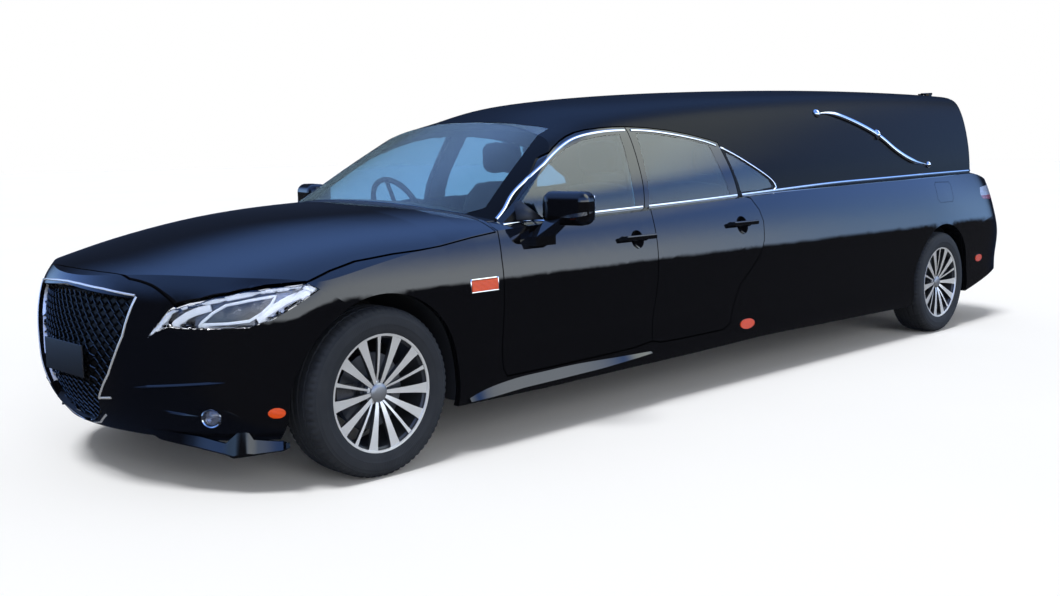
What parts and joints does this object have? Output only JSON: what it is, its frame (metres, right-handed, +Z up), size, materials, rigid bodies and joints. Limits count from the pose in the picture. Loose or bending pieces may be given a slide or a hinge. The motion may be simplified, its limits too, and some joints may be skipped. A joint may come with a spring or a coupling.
{
  "type": "hearse",
  "caption": "Long four-door hearse with a blind raised load space, opening doors, bonnet and tailgate, steered front wheels and turning wheels on all corners.",
  "frame": {"origin": "on the ground under the middle of the vehicle's length and width", "axes": "-X toward the nose, +X toward the tail, -Y the left side, +Y the right side, +Z up"},
  "size_m": [6.643, 2.1398, 1.6095],
  "materials": {
    "body_paint": "gloss black clear coat",
    "roof_paint": "satin black",
    "trim_black": "grained black",
    "glass": "clear tinted",
    "underbody": "matt coating",
    "deck_wood": "lacquered boards",
    "dash_plastic": "grained",
    "seat_cloth": "woven cloth",
    "engine_metal": "cast",
    "tank_steel": "coated",
    "exhaust_steel": "dull",
    "suspension_steel": "coated",
    "knuckle_iron": "as cast",
    "wheel_alloy": "machined",
    "tyre_rubber": "matt",
    "lamp_clear": "clear cover",
    "lamp_red": "ribbed red",
    "lamp_amber": "ribbed amber",
    "grille_black": "gloss black",
    "chrome": "bright plating"
  },
  "bodies": {
    "body": {"quarter_left": "body_paint", "quarter_right": "body_paint", "fender_left": "body_paint", "fender_right": "body_paint", "front_bumper": "body_paint", "rear_bumper": "body_paint", "coach_roof": "roof_paint", "cowl": "trim_black", "windscreen": "glass", "quarter_glass": "glass", "floor_platform": "underbody", "casket_deck": "deck_wood", "dashboard": "dash_plastic", "front_seats": "seat_cloth", "rear_seat": "seat_cloth", "engine_block": "engine_metal", "fuel_tank": "tank_steel", "exhaust": "exhaust_steel", "front_suspension": "suspension_steel", "rear_axle": "suspension_steel", "front_lamps": "lamp_clear", "tail_lamps": "lamp_red", "side_markers": "lamp_amber", "grille": "grille_black", "landau_bars": "chrome"},
    "door_fl": {"door_front_left": "body_paint", "glass_front_left": "glass"},
    "door_fr": {"door_front_right": "body_paint", "glass_front_right": "glass"},
    "door_rl": {"door_rear_left": "body_paint", "glass_rear_left": "glass"},
    "door_rr": {"door_rear_right": "body_paint", "glass_rear_right": "glass"},
    "bonnet_lid": {"bonnet": "body_paint"},
    "rear_gate": {"tailgate": "body_paint"},
    "knuckle_l": {"knuckle_left": "knuckle_iron"},
    "knuckle_r": {"knuckle_right": "knuckle_iron"},
    "wheel_fl": {"wheel_front_left": "wheel_alloy", "tyre_front_left": "tyre_rubber"},
    "wheel_fr": {"wheel_front_right": "wheel_alloy", "tyre_front_right": "tyre_rubber"},
    "wheel_rl": {"wheel_rear_left": "wheel_alloy", "tyre_rear_left": "tyre_rubber"},
    "wheel_rr": {"wheel_rear_right": "wheel_alloy", "tyre_rear_right": "tyre_rubber"}
  },
  "joints": [
    {"name": "door_fl_hinge", "type": "hinge", "parent": "body", "child": "door_fl", "pos_m": [-1.8155, -0.8955, 0.65], "axis": [0, 0, -1], "range_deg": [0, 68]},
    {"name": "door_fr_hinge", "type": "hinge", "parent": "body", "child": "door_fr", "pos_m": [-1.8155, 0.8955, 0.65], "axis": [0, 0, 1], "range_deg": [0, 68]},
    {"name": "door_rl_hinge", "type": "hinge", "parent": "body", "child": "door_rl", "pos_m": [-0.8135, -0.893, 0.65], "axis": [0, 0, -1], "range_deg": [0, 68]},
    {"name": "door_rr_hinge", "type": "hinge", "parent": "body", "child": "door_rr", "pos_m": [-0.8135, 0.893, 0.65], "axis": [0, 0, 1], "range_deg": [0, 68]},
    {"name": "bonnet_hinge", "type": "hinge", "parent": "body", "child": "bonnet_lid", "pos_m": [-1.8095, 0, 1], "axis": [0, 1, 0], "range_deg": [0, 52]},
    {"name": "gate_hinge", "type": "hinge", "parent": "body", "child": "rear_gate", "pos_m": [2.8845, 0, 1.6015], "axis": [0, -1, 0], "range_deg": [0, 80]},
    {"name": "steer_left", "type": "hinge", "parent": "body", "child": "knuckle_l", "pos_m": [-2.4525, -0.735, 0.334], "axis": [0, 0, 1], "range_deg": [-36, 36]},
    {"name": "steer_right", "type": "hinge", "parent": "body", "child": "knuckle_r", "pos_m": [-2.4525, 0.735, 0.334], "axis": [0, 0, 1], "range_deg": [-36, 36]},
    {"name": "wheel_fl_spin", "type": "hinge", "parent": "knuckle_l", "child": "wheel_fl", "pos_m": [-2.4525, -0.775, 0.334], "axis": [0, 1, 0], "continuous": true},
    {"name": "wheel_fr_spin", "type": "hinge", "parent": "knuckle_r", "child": "wheel_fr", "pos_m": [-2.4525, 0.775, 0.334], "axis": [0, 1, 0], "continuous": true},
    {"name": "wheel_rl_spin", "type": "hinge", "parent": "body", "child": "wheel_rl", "pos_m": [2.2175, -0.775, 0.334], "axis": [0, 1, 0], "continuous": true},
    {"name": "wheel_rr_spin", "type": "hinge", "parent": "body", "child": "wheel_rr", "pos_m": [2.2175, 0.775, 0.334], "axis": [0, 1, 0], "continuous": true}
  ],
  "couplings": [
    {"joint": "steer_right", "follows": "steer_left", "ratio": 1}
  ]
}
